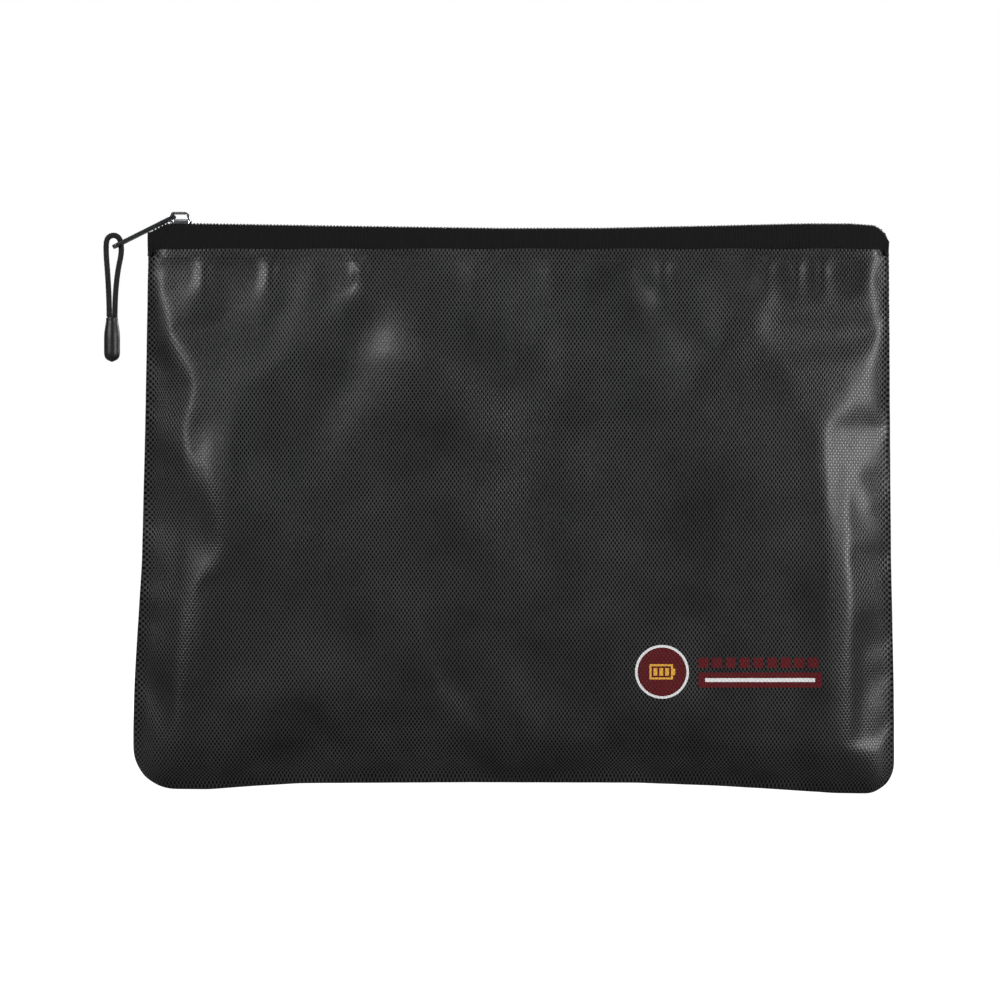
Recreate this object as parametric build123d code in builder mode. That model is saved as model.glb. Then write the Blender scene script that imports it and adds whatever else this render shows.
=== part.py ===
"""A zipped, fire-resistant pouch for model battery packs and papers, in millimetres.

The pouch stands on its bottom seam with its zip along the top edge. The front faces -Y, and X = 0, Y = 0
is the middle of the whole object's box without the pull cord. All heights are above the bottom seam.
"""

from build123d import *

import math
import os

FRONT, BACK = -1, 1

# Pouch: two puffed panels sewn together round three sides and left open at the rim
RIM_WIDTH = 334.0
LEFT_FLARE = 6.7  # how much further out the bottom corners stand than the rim's ends
RIGHT_FLARE = 2.3
RIM_HEIGHT = 241.8
HALF_DEPTH = 12.0
CORNER_RADIUS = 10.0
EDGE_INSET, EDGE_DEPTH = 1.5, 2.2  # the blunt turned edge of the seam
SHOULDER_INSET = 10.0  # how far in from the seam the panel is as thick as the pouch is at its rim
RIM_STEP = 0.66  # the panel's outside stands this much proud of the tape sewn to it
SWELL_INSET, SWELL_SHARE = 21.0, 0.88
BELLY_INSET = 31.0  # from here on the panel is flat
PANEL_THICKNESS = 0.8
LINING_THICKNESS = 0.5
LAYER_GAP = 0.1
BINDING_WIDTH, BINDING_THICKNESS = 2.6, 1.0
BINDING_CLEARANCE = 0.9  # from the lining to the binding's edge

# Zip: two tapes folded over the mouth, and a coil along the edge of each
TAPE_THICKNESS = 0.6
TAPE_FOLD_CLEARANCE = 0.2  # from the coil to the inside of the tape's fold at the ends of the zip
COIL_HEIGHT, COIL_WIDTH = 2.3, 2.8
COIL_GAP = 0.1  # the middle plane to each coil
COIL_ABOVE_RIM = 13.95  # the middle of the coil
COIL_CORNER = 0.6
CORE_RADIUS, CORE_CLEARANCE = 0.45, 0.1
LEFT_END_DROP, RIGHT_END_DROP = 3.55, 4.1  # the chain slopes down to the corners of the pouch
LEFT_END_IN, RIGHT_END_IN = 1.9, 2.0
RIGHT_SLOPE_LENGTH = 15.0
SPREAD_BEFORE_NOSE = 2.4  # the coils are parted from here, through the nose, to a little past the divider
SPREAD_PAST_DIVIDER = 1.0
CLOSED_BEFORE_TAIL = 1.5
END_TAB_THICKNESS, END_TAB_HEIGHT = 1.6, 7.0
THREAD_RADIUS = 0.3
THREAD_CLEARANCE = 0.1

# Slider, bow and puller
RUN_CLEARANCE = 0.3
PLATE_THICKNESS = 1.2
PLATE_LENGTH = 8.8
FLANGE_THICKNESS = 0.7
PLATE_EDGE_ROUND = 0.8
DIVIDER_HALF_WIDTH, DIVIDER_LENGTH, DIVIDER_CLEARANCE = 0.8, 2.2, 0.2
PIVOT_FROM_RIM_END = 12.0
PIVOT_FROM_NOSE = 1.0
PIVOT_RISE = 0.15  # the pivot is this much above the middle of the bow's opening
BOW_THICKNESS, BOW_WIDTH, BOW_BEND = 1.2, 2.2, 2.6
BOW_LENGTH = 9.4
PULLER_THICKNESS, PULLER_WIDTH = 1.5, 6.4
PULLER_ANGLE = 26.6  # below level, where it rests over the corner
PIVOT_CLEARANCE = 0.4  # above and below the puller's end bar, in the bow
EYE_SIDE_CLEARANCE, EYE_END_CLEARANCE = 0.5, 0.9  # from the bow to the puller's eye
CORD_HOLE_FROM_PIVOT = 26.8
CORD_HOLE_CLEARANCE = 0.4  # the hole takes two cords side by side, with this much all round
PULLER_TIP_WALL = 1.1
PULLER_TIP_ROUND = 2.0
BRIGHT_EDGE = 0.25  # the rounded edge of the cast and pressed metal pieces

# Pull cord and its moulded grip
CORD_DIAMETER = 2.4
LEG_GAP = 0.2  # between the cord's two legs in the grip
GRIP_LENGTH = 20.5
GRIP_TOP_WALL = 0.25  # the least wall round the two legs
GRIP_SHOULDER, GRIP_SHOULDER_STEP = 4.0, 0.7  # the grip narrows to its top by this step on each side
GRIP_OFFSET = 3.9  # how far the grip hangs to the left of the puller's hole
GRIP_DROP = 33.0  # the puller's hole down to the top of the grip
GRIP_BORE_CLEARANCE = 0.15
CORD_IN_GRIP = 6.0

# Printed mark
PRINT_THICKNESS = 0.15
MARK_MARGIN = 0.8  # from the right end of the panel's flat
EMBLEM_DIAMETER = 24.0
EMBLEM_HEIGHT = 55.6  # the emblem's middle
LABEL_LENGTH, LABEL_GAP = 55.0, 4.2
LABEL_HEIGHT = 56.7  # the foot of the upper line
LABEL_BAR_HEIGHT, LABEL_LINE_HEIGHT, LABEL_LINE_GAP = 6.7, 5.8, 1.4

# Places worked out from the sizes above
puller_angle = math.radians(PULLER_ANGLE)
cord_hole_length = 2 * CORD_DIAMETER + 2 * CORD_HOLE_CLEARANCE
cord_hole_width = CORD_DIAMETER + 2 * CORD_HOLE_CLEARANCE
puller_length = CORD_HOLE_FROM_PIVOT + cord_hole_length / 2 + PULLER_TIP_WALL
puller_reach = puller_length * math.cos(puller_angle)
rim_left = -(RIM_WIDTH + RIGHT_FLARE + PIVOT_FROM_RIM_END - puller_reach) / 2
rim_right = rim_left + RIM_WIDTH
panel_sink = PANEL_THICKNESS
lining_top_sink = panel_sink + LAYER_GAP
lining_bottom_sink = lining_top_sink + LINING_THICKNESS

coil_middle_height = RIM_HEIGHT + COIL_ABOVE_RIM
coil_top = coil_middle_height + COIL_HEIGHT / 2
coil_bottom = coil_middle_height - COIL_HEIGHT / 2
coil_closed = COIL_GAP + COIL_WIDTH / 2
coil_spread = DIVIDER_HALF_WIDTH + DIVIDER_CLEARANCE + COIL_WIDTH / 2
flange_inside = coil_spread + COIL_WIDTH / 2 + RUN_CLEARANCE
slider_half_width = flange_inside + FLANGE_THICKNESS

tape_half_width = slider_half_width + RUN_CLEARANCE + TAPE_THICKNESS
tape_end_half_width = coil_closed + COIL_WIDTH / 2 + TAPE_FOLD_CLEARANCE + TAPE_THICKNESS
rim_half_depth = tape_half_width + RIM_STEP
seam_height = RIM_HEIGHT + THREAD_CLEARANCE + THREAD_RADIUS
seam_half_width = tape_half_width - TAPE_THICKNESS / 2
tape_bottom = seam_height + THREAD_RADIUS + THREAD_CLEARANCE

pivot_x = rim_left + PIVOT_FROM_RIM_END
plate_left = pivot_x - PIVOT_FROM_NOSE
plate_right = plate_left + PLATE_LENGTH
plate_bottom = coil_top + RUN_CLEARANCE
plate_top = plate_bottom + PLATE_THICKNESS
bow_opening = PULLER_THICKNESS + 2 * PIVOT_CLEARANCE
bow_underside = plate_top + bow_opening
bow_left = plate_left - BOW_THICKNESS
bow_right = bow_left + BOW_LENGTH
pivot_height = plate_top + bow_opening / 2 + PIVOT_RISE
eye_length = bow_right - pivot_x + EYE_END_CLEARANCE
eye_width = BOW_WIDTH + 2 * EYE_SIDE_CLEARANCE

along_puller = Vector(-math.cos(puller_angle), 0, -math.sin(puller_angle))
above_puller = Vector(-math.sin(puller_angle), 0, math.cos(puller_angle))
pivot = Vector(pivot_x, 0, pivot_height)
cord_hole = pivot + along_puller * CORD_HOLE_FROM_PIVOT
leg_from_middle = (CORD_DIAMETER + LEG_GAP) / 2

spread_end = plate_left + DIVIDER_LENGTH + SPREAD_PAST_DIVIDER

# Stations along the zip: x, the coil's middle from the middle plane, its height, the tape's half width
ZIP_STATIONS = (
    (rim_left + LEFT_END_IN, coil_closed, coil_middle_height - LEFT_END_DROP, tape_end_half_width),
    (plate_left - SPREAD_BEFORE_NOSE, coil_spread, coil_middle_height, tape_half_width),
    (spread_end, coil_spread, coil_middle_height, tape_half_width),
    (plate_right - CLOSED_BEFORE_TAIL, coil_closed, coil_middle_height, tape_half_width),
    (rim_right - RIGHT_END_IN - RIGHT_SLOPE_LENGTH, coil_closed, coil_middle_height, tape_half_width),
    (rim_right - RIGHT_END_IN, coil_closed, coil_middle_height - RIGHT_END_DROP, tape_end_half_width),
)

# The cord's route in its own upright plane, from the middle of the puller's hole: right leg, loop, left leg
CORD_POINTS = (
    (-GRIP_OFFSET + leg_from_middle, -GRIP_DROP - CORD_IN_GRIP),
    (-GRIP_OFFSET + leg_from_middle, -GRIP_DROP + 2.0),
    (-1.0, -20.0),
    (0.5, -10.5),
    (0.9, -3.8),
    (-0.05, 1.5),
    (-1.6, 3.4),
    (-3.95, 3.75),
    (-6.0, 2.5),
    (-6.6, -0.3),
    (-6.5, -5.5),
    (-6.2, -13.0),
    (-5.9, -22.0),
    (-GRIP_OFFSET - leg_from_middle, -GRIP_DROP + 2.0),
    (-GRIP_OFFSET - leg_from_middle, -GRIP_DROP - CORD_IN_GRIP),
)


def finish(piece, name):
    """Label a finished piece and write its STEP file."""
    piece.label = name
    export_step(piece, f"parts/{name}.step")


def pouch_steps(sink):
    """Inset from the seam and distance from the middle plane of each step of a surface sunk by sink."""
    return (
        (sink * EDGE_INSET / EDGE_DEPTH, 0.0),
        (EDGE_INSET, EDGE_DEPTH - sink),
        (SHOULDER_INSET, rim_half_depth - sink),
        (SWELL_INSET, HALF_DEPTH * SWELL_SHARE - sink),
        (BELLY_INSET, HALF_DEPTH - sink),
    )


def side_x(height, inset, side):
    """X of the left (-1) or right (1) seam line at a height, moved inwards by inset."""
    flare, end = (LEFT_FLARE, rim_left) if side < 0 else (RIGHT_FLARE, rim_right)
    return end + side * (flare * (1 - height / RIM_HEIGHT) - inset)


def half_pouch(side, sink):
    """One puffed half of the pouch, from the middle plane out to its surface, cut off at the rim."""
    above_rim = SHOULDER_INSET
    with BuildPart() as half:
        for inset, depth in pouch_steps(sink):
            top = RIM_HEIGHT + above_rim - inset
            with BuildSketch(Plane.XZ.offset(-side * depth)):
                with BuildLine():
                    Polyline(
                        (side_x(inset, inset, -1), inset),
                        (side_x(inset, inset, 1), inset),
                        (side_x(top, inset, 1), top),
                        (side_x(top, inset, -1), top),
                        close=True,
                    )
                corners = make_face().vertices().group_by(Axis.Y)[0]
                fillet(corners, CORNER_RADIUS)
        loft(ruled=True)
        split(bisect_by=Plane.XY.offset(RIM_HEIGHT), keep=Keep.BOTTOM)
    return half.part


def pouch_layer(side, outer_sink, inner_sink):
    """A thin layer of one half of the pouch, such as its outer panel or its lining."""
    outside = half_pouch(side, outer_sink)
    inside = half_pouch(side, inner_sink)
    with BuildPart() as layer:
        add(outside)
        add(inside, mode=Mode.SUBTRACT)
    return layer.part


def seam_binding(*corners):
    """A strip of folded binding tape on the raw edges inside a seam, in the middle plane."""
    with BuildPart() as binding:
        with BuildSketch(Plane.XZ):
            with BuildLine():
                Polyline(*corners, close=True)
            make_face()
        extrude(amount=BINDING_THICKNESS / 2, both=True)
    return binding.part


def across_zip(x, y, height):
    """The plane square to the zip at a point on it."""
    return Plane(origin=(x, y, height), x_dir=(0, 1, 0), z_dir=(1, 0, 0))


def zip_tape(side):
    """A tape through the stations: up the outside of the mouth, and over to the edge of its coil."""
    with BuildPart() as tape:
        for x, coil_middle, coil_height, half_width in ZIP_STATIONS:
            coil_edge = coil_middle + COIL_WIDTH / 2
            top = coil_height + TAPE_THICKNESS / 2
            with BuildSketch(across_zip(x, 0, 0)):
                with BuildLine():
                    Polyline(
                        (side * half_width, tape_bottom),
                        (side * half_width, top),
                        (side * coil_edge, top),
                        (side * coil_edge, top - TAPE_THICKNESS),
                        (side * (half_width - TAPE_THICKNESS), top - TAPE_THICKNESS),
                        (side * (half_width - TAPE_THICKNESS), tape_bottom),
                        close=True,
                    )
                make_face()
        loft(ruled=True)
    return tape.part


def zip_strand(side, radius):
    """A round strand through the middle of a coil."""
    with BuildPart() as strand:
        for x, coil_middle, coil_height, _ in ZIP_STATIONS:
            with BuildSketch(across_zip(x, side * coil_middle, coil_height)):
                Circle(radius)
        loft(ruled=True)
    return strand.part


def zip_coil(side):
    """One coil, with the way through it for its filler cord."""
    way_through = zip_strand(side, CORE_RADIUS + CORE_CLEARANCE)
    with BuildPart() as coil:
        for x, coil_middle, coil_height, _ in ZIP_STATIONS:
            with BuildSketch(across_zip(x, side * coil_middle, coil_height)):
                RectangleRounded(COIL_WIDTH, COIL_HEIGHT, COIL_CORNER)
        loft(ruled=True)
        add(way_through, mode=Mode.SUBTRACT)
    return coil.part


def tape_thread(side):
    """The seam thread that joins a tape to its panel, on the line about which the tape folds."""
    length = RIM_WIDTH - 2 * SHOULDER_INSET
    start = (rim_left + SHOULDER_INSET, side * seam_half_width, seam_height)
    with BuildPart() as thread:
        with BuildSketch(Plane(origin=start, z_dir=(1, 0, 0))):
            Circle(THREAD_RADIUS)
        extrude(amount=length)
    return thread.part


def end_tab(x_outer, x_inner):
    """The folded tab that closes the mouth at one end of the zip."""
    with BuildPart() as tab:
        with BuildSketch(Plane(origin=((x_outer + x_inner) / 2, 0, tape_bottom))):
            RectangleRounded(abs(x_inner - x_outer), 2 * tape_end_half_width, END_TAB_THICKNESS / 4)
        extrude(amount=END_TAB_HEIGHT)
    return tab.part


os.makedirs("parts", exist_ok=True)

# Outer panels of coated glass cloth, and the linings inside them
for side, word in ((FRONT, "front"), (BACK, "back")):
    finish(pouch_layer(side, 0.0, panel_sink), f"{word}_outer_panel")
    finish(pouch_layer(side, lining_top_sink, lining_bottom_sink), f"{word}_lining")

# Bindings on the raw seam edges inside the pouch
binding_inset = EDGE_INSET + lining_bottom_sink + BINDING_CLEARANCE
binding_end = RIM_HEIGHT - binding_inset
binding_start = binding_inset + BINDING_WIDTH + BINDING_CLEARANCE
for hand, word in ((-1, "left"), (1, "right")):
    strip = [
        (side_x(height, inset, hand), height)
        for height, inset in (
            (binding_start, binding_inset),
            (binding_start, binding_inset + BINDING_WIDTH),
            (binding_end, binding_inset + BINDING_WIDTH),
            (binding_end, binding_inset),
        )
    ]
    finish(seam_binding(*strip), f"{word}_seam_binding")

bottom_start = side_x(0, CORNER_RADIUS, -1)
bottom_end = side_x(0, CORNER_RADIUS, 1)
finish(
    seam_binding(
        (bottom_start, binding_inset),
        (bottom_end, binding_inset),
        (bottom_end, binding_inset + BINDING_WIDTH),
        (bottom_start, binding_inset + BINDING_WIDTH),
    ),
    "bottom_seam_binding",
)

# Zip tapes, coils, filler cords and the seam threads under the tapes
for side, word in ((FRONT, "front"), (BACK, "back")):
    finish(zip_tape(side), f"{word}_zip_tape")
    finish(zip_coil(side), f"{word}_zip_coil")
    finish(zip_strand(side, CORE_RADIUS), f"{word}_coil_core")
    finish(tape_thread(side), f"{word}_tape_thread")

# End tabs that close the mouth at both ends of the zip
zip_left, zip_right = ZIP_STATIONS[0][0], ZIP_STATIONS[-1][0]
finish(
    end_tab(zip_left - THREAD_CLEARANCE - END_TAB_THICKNESS, zip_left - THREAD_CLEARANCE),
    "left_end_tab",
)
finish(
    end_tab(zip_right + THREAD_CLEARANCE, zip_right + THREAD_CLEARANCE + END_TAB_THICKNESS),
    "right_end_tab",
)

# Slider: two plates joined by the divider at the nose, with flanges that hold the coils
with BuildPart() as slider_body:
    for bottom in (plate_bottom, coil_bottom - RUN_CLEARANCE - PLATE_THICKNESS):
        with BuildSketch(Plane(origin=((plate_left + plate_right) / 2, 0, bottom))):
            RectangleRounded(PLATE_LENGTH, 2 * slider_half_width, 2 * PLATE_EDGE_ROUND)
        extrude(amount=PLATE_THICKNESS)
    with BuildSketch(Plane(origin=(plate_left + DIVIDER_LENGTH / 2, 0, coil_bottom - RUN_CLEARANCE))):
        RectangleRounded(DIVIDER_LENGTH, 2 * DIVIDER_HALF_WIDTH, DIVIDER_HALF_WIDTH * 0.9)
    extrude(amount=COIL_HEIGHT + 2 * RUN_CLEARANCE)
    tape_top = coil_middle_height + TAPE_THICKNESS / 2
    tape_under = coil_middle_height - TAPE_THICKNESS / 2
    for low, high in (
        (tape_top + RUN_CLEARANCE, plate_bottom),
        (coil_bottom - RUN_CLEARANCE, tape_under - RUN_CLEARANCE),
    ):
        with BuildSketch(Plane(origin=((plate_left + plate_right) / 2, 0, low))):
            RectangleRounded(PLATE_LENGTH, 2 * slider_half_width, 2 * PLATE_EDGE_ROUND)
            Rectangle(PLATE_LENGTH, 2 * flange_inside, mode=Mode.SUBTRACT)
        extrude(amount=high - low)
    top_rim = slider_body.faces().sort_by(Axis.Z)[-1].outer_wire().edges()
    fillet(top_rim, PLATE_EDGE_ROUND)
finish(slider_body.part, "slider_body")

# Bow: the arch along the slider that the puller's eye turns on
bow_top = bow_underside + BOW_THICKNESS
with BuildPart() as slider_bow:
    with BuildSketch(Plane.XZ) as arch:
        with BuildLine():
            Polyline(
                (bow_left, plate_bottom),
                (bow_left, bow_top),
                (bow_right, bow_top),
                (bow_right, plate_top),
                (bow_right - BOW_THICKNESS, plate_top),
                (bow_right - BOW_THICKNESS, bow_underside),
                (plate_left, bow_underside),
                (plate_left, plate_bottom),
                close=True,
            )
        make_face()
        fillet(arch.vertices().group_by(Axis.Y)[-1], BOW_BEND)
        inner_corners = arch.vertices().filter_by(lambda corner: abs(corner.Y - bow_underside) < 0.001)
        fillet(inner_corners, BOW_BEND - BOW_THICKNESS)
    extrude(amount=BOW_WIDTH / 2, both=True)
    fillet(slider_bow.edges().filter_by(Axis.Y, reverse=True).group_by(Axis.Z)[-1], BRIGHT_EDGE)
finish(slider_bow.part, "slider_bow")

# Puller: a flat bar with an eye round the bow and an oblong hole for the cord
puller_plane = Plane(origin=pivot, x_dir=along_puller, z_dir=above_puller)
with BuildPart() as puller:
    with BuildSketch(puller_plane):
        with Locations((puller_length / 2, 0)):
            bar = Rectangle(puller_length, PULLER_WIDTH)
        fillet(bar.vertices().group_by(Axis.X)[-1], PULLER_TIP_ROUND)
        with Locations((eye_length / 2, 0)):
            Rectangle(eye_length, eye_width, mode=Mode.SUBTRACT)
        with Locations((CORD_HOLE_FROM_PIVOT, 0)):
            SlotOverall(cord_hole_length, cord_hole_width, mode=Mode.SUBTRACT)
    extrude(amount=PULLER_THICKNESS / 2, both=True)
    end_bar = pivot - Vector(0, PULLER_WIDTH / 2, 0)
    with BuildSketch(Plane(origin=end_bar, x_dir=along_puller, z_dir=(0, 1, 0))):
        Circle(PULLER_THICKNESS / 2)
    extrude(amount=PULLER_WIDTH)
finish(puller.part, "puller")

# Pull cord: a loop through the puller's hole, with both legs moulded into the grip
route_plane = Plane(origin=cord_hole, x_dir=(1, 0, 0), z_dir=(0, -1, 0))
runs = [Vector(*end) - Vector(*start) for start, end in zip(CORD_POINTS, CORD_POINTS[1:])]
bends = [
    0.45 * min(before.length, after.length) / math.tan(math.radians(before.get_angle(after) / 2))
    for before, after in zip(runs, runs[1:])
]
with BuildPart() as pull_cord:
    with BuildLine(route_plane) as route:
        FilletPolyline(*CORD_POINTS, radius=bends)
    with BuildSketch(Plane(origin=route.line @ 0, z_dir=route.line % 0)):
        Circle(CORD_DIAMETER / 2)
    sweep(path=route.line)
finish(pull_cord.part, "pull_cord")
cord_length = sum(edge.length for edge in route.edges())
swept_volume = math.pi * CORD_DIAMETER**2 / 4 * cord_length
print("cord length", round(cord_length, 1), "bend radii", [round(bend, 1) for bend in bends])
print("cord volume over section times length", round(pull_cord.part.volume / swept_volume, 4))

# Grip: a moulded barrel, round at its foot, with a slot in its top for the two legs
grip_top = cord_hole - Vector(GRIP_OFFSET, 0, GRIP_DROP)
bore_width = CORD_DIAMETER + 2 * GRIP_BORE_CLEARANCE
bore_length = 2 * leg_from_middle + bore_width
grip_top_radius = bore_length / 2 + GRIP_TOP_WALL
grip_radius = grip_top_radius + GRIP_SHOULDER_STEP
with BuildPart() as cord_grip:
    with BuildSketch(Plane(origin=grip_top, x_dir=(1, 0, 0), z_dir=(0, -1, 0))):
        with BuildLine():
            Polyline((0, 0), (grip_top_radius, 0), (grip_radius, -GRIP_SHOULDER))
            Line((grip_radius, -GRIP_SHOULDER), (grip_radius, -GRIP_LENGTH + grip_radius))
            RadiusArc((grip_radius, -GRIP_LENGTH + grip_radius), (0, -GRIP_LENGTH), grip_radius)
            Line((0, -GRIP_LENGTH), (0, 0))
        make_face()
    revolve(axis=Axis(grip_top, (0, 0, 1)))
    with BuildSketch(Plane(origin=grip_top)):
        SlotOverall(bore_length, bore_width)
    extrude(amount=-CORD_IN_GRIP - GRIP_BORE_CLEARANCE, mode=Mode.SUBTRACT)
finish(cord_grip.part, "cord_grip")

# Printed mark on the flat of the front panel: a round badge, and a line over a bar beside it
print_plane = Plane.XZ.offset(HALF_DEPTH)
label_left = rim_right - BELLY_INSET - MARK_MARGIN - LABEL_LENGTH
emblem_x = label_left - LABEL_GAP - EMBLEM_DIAMETER / 2
with BuildPart() as emblem_print:
    with BuildSketch(print_plane):
        with Locations((emblem_x, EMBLEM_HEIGHT)):
            Circle(EMBLEM_DIAMETER / 2)
    extrude(amount=PRINT_THICKNESS)
finish(emblem_print.part, "emblem_print")

with BuildPart() as label_print:
    with BuildSketch(print_plane):
        with Locations((label_left, LABEL_HEIGHT)):
            Rectangle(LABEL_LENGTH, LABEL_LINE_HEIGHT, align=(Align.MIN, Align.MIN))
        with Locations((label_left, LABEL_HEIGHT - LABEL_LINE_GAP)):
            Rectangle(LABEL_LENGTH, LABEL_BAR_HEIGHT, align=(Align.MIN, Align.MAX))
    extrude(amount=PRINT_THICKNESS)
finish(label_print.part, "label_print")
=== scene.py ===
"""Looks of a zipped, fire-resistant pouch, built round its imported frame, in metres."""

import math

import bmesh
import bpy
import numpy as np
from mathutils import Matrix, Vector
from mathutils.bvhtree import BVHTree


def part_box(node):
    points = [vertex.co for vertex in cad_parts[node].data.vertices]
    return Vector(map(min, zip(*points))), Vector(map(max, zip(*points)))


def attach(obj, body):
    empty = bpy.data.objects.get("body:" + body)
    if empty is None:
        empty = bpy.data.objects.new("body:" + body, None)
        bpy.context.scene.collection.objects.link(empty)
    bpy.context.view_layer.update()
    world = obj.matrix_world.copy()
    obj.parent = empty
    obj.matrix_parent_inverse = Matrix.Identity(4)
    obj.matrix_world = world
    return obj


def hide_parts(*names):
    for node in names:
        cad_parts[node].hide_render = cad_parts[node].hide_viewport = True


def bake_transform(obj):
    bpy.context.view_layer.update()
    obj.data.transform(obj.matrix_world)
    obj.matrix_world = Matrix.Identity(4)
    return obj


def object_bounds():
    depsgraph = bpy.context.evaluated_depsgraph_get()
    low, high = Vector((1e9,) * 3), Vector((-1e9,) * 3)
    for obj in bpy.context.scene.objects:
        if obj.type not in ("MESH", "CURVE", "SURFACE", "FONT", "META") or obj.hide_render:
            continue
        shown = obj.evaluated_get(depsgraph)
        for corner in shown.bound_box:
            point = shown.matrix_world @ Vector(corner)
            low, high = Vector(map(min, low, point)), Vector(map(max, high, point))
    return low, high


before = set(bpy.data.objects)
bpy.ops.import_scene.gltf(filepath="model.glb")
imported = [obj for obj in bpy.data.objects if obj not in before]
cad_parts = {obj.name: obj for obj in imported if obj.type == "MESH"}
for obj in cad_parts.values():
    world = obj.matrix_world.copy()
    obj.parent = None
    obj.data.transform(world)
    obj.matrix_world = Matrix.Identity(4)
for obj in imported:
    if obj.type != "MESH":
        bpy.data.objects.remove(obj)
cad_low, cad_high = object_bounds()
scene = bpy.context.scene

# Studio: a camera level with the middle of the pouch, a pale floor and pale surroundings. Soft lights
# at each side, above and behind show where the black cloth swells and gathers.
VIEW_WIDTH = 0.45
LENS, SENSOR = 135.0, 36.0
VIEW_SIDEWAYS, VIEW_HEIGHT_ABOVE_MIDDLE = -0.0017, 0.0013
FLOOR_HALF = 6.0
# Each light's name, place, width, height and power
LIGHTS = (
    ("left_light", (-0.95, -1.00, 0.62), 0.30, 0.50, 11.6),
    ("right_light", (1.05, -0.80, 0.32), 0.25, 0.50, 12.4),
    ("top_light", (-0.05, -0.80, 1.30), 0.60, 0.25, 1.6),
    ("left_back_light", (-0.90, 1.00, 0.75), 0.40, 0.50, 12.0),
    ("right_back_light", (0.95, 0.95, 0.60), 0.40, 0.50, 10.0),
)

camera = bpy.data.objects.new("camera", bpy.data.cameras.new("camera"))
camera.data.lens = LENS
camera.data.sensor_width = SENSOR
camera_distance = VIEW_WIDTH * LENS / SENSOR
camera.location = (VIEW_SIDEWAYS, -camera_distance, cad_high.z / 2 + VIEW_HEIGHT_ABOVE_MIDDLE)
camera.rotation_euler = (math.pi / 2, 0, 0)
scene.collection.objects.link(camera)
scene.camera = camera
scene.view_settings.view_transform = "Standard"

for name, place, width, height, power in LIGHTS:
    lamp = bpy.data.objects.new(name, bpy.data.lights.new(name, "AREA"))
    lamp.data.shape = "RECTANGLE"
    lamp.data.size, lamp.data.size_y = width, height
    lamp.data.energy = power
    lamp.location = place
    aim = Vector((0, 0, cad_high.z / 2)) - Vector(place)
    lamp.rotation_euler = aim.to_track_quat("-Z", "Y").to_euler()
    scene.collection.objects.link(lamp)

# The surroundings light the pouch softly, and are white where they are seen
world = bpy.data.worlds.new("surroundings")
world.use_nodes = True
scene.world = world
around = world.node_tree
sky = around.nodes["Background"]
sky.inputs["Color"].default_value = (0.90, 0.95, 1.0, 1.0)
sky.inputs["Strength"].default_value = 0.12
seen_sky = around.nodes.new("ShaderNodeBackground")
seen_sky.inputs["Color"].default_value = (1.0, 1.0, 1.0, 1.0)
ray = around.nodes.new("ShaderNodeLightPath")
either = around.nodes.new("ShaderNodeMixShader")
around.links.new(ray.outputs["Is Camera Ray"], either.inputs["Fac"])
around.links.new(sky.outputs["Background"], either.inputs[1])
around.links.new(seen_sky.outputs["Background"], either.inputs[2])
around.links.new(either.outputs["Shader"], around.nodes["World Output"].inputs["Surface"])

floor_shape = bmesh.new()
bmesh.ops.create_grid(floor_shape, x_segments=1, y_segments=1, size=FLOOR_HALF)
floor_mesh = bpy.data.meshes.new("floor")
floor_shape.to_mesh(floor_mesh)
floor_shape.free()
floor = bpy.data.objects.new("floor", floor_mesh)
scene.collection.objects.link(floor)


def new_material(name, colour, roughness, metallic=0.0, specular=0.5):
    """A Principled material and its shader, with plain values on the shader's own sockets."""
    material = bpy.data.materials.new(name)
    material.use_nodes = True
    shader = material.node_tree.nodes["Principled BSDF"]
    shader.inputs["Base Color"].default_value = (*colour, 1.0)
    shader.inputs["Roughness"].default_value = roughness
    shader.inputs["Metallic"].default_value = metallic
    shader.inputs["Specular IOR Level"].default_value = specular
    return material, shader


floor_paint, floor_shader = new_material("floor_paint", (0.25, 0.25, 0.25), 0.9, specular=0.0)
floor_shader.inputs["Emission Color"].default_value = (1.0, 1.0, 1.0, 1.0)
floor_nodes = floor_paint.node_tree
floor_ray = floor_nodes.nodes.new("ShaderNodeLightPath")
floor_nodes.links.new(floor_ray.outputs["Is Camera Ray"], floor_shader.inputs["Emission Strength"])
floor.data.materials.append(floor_paint)


# Pull cord: a round braid of sixteen polyester strands over a core, 2.4 mm thick, in a loop through the
# hole of the puller. Both its legs go down into the grip. The points are its route from leg to leg.
CORD_HOLE = Vector((-0.172388, 0.0, 0.247700))
CORD_ROUTE = (
    (-0.00265, -0.03900), (-0.00265, -0.03100), (-0.00235, -0.02200), (-0.00130, -0.01200),
    (0.00050, -0.00400), (-0.00005, 0.00150), (-0.00160, 0.00340), (-0.00395, 0.00375),
    (-0.00600, 0.00250), (-0.00660, -0.00030), (-0.00650, -0.00550), (-0.00590, -0.01300),
    (-0.00535, -0.02250), (-0.00512, -0.03100), (-0.00512, -0.03900),
)
BRAID_STRANDS = 16
BRAID_TURNS = 11
BRAID_STEPS_PER_TURN = 24
STRAND_RADIUS = 0.00025
BRAID_RADIUS = 0.00100
BRAID_WEAVE = 0.00007


def strands_along(lines, radius, sides):
    """A curve object of open strands, each along a list of points, with a round section."""
    data = bpy.data.curves.new("strands", "CURVE")
    data.dimensions = "3D"
    data.bevel_depth = radius
    data.bevel_resolution = max(0, (sides - 4) // 2)
    data.use_fill_caps = True
    for line in lines:
        strand = data.splines.new("POLY")
        strand.points.add(len(line) - 1)
        for point, place in zip(strand.points, line):
            point.co = (*place, 1.0)
    return bpy.data.objects.new("strands", data)


def as_mesh(thing, name):
    """The object's shape as a smooth mesh piece at the origin."""
    mesh = bpy.data.meshes.new_from_object(thing)
    mesh.shade_smooth()
    piece = bpy.data.objects.new(name, mesh)
    scene.collection.objects.link(piece)
    return piece


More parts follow.
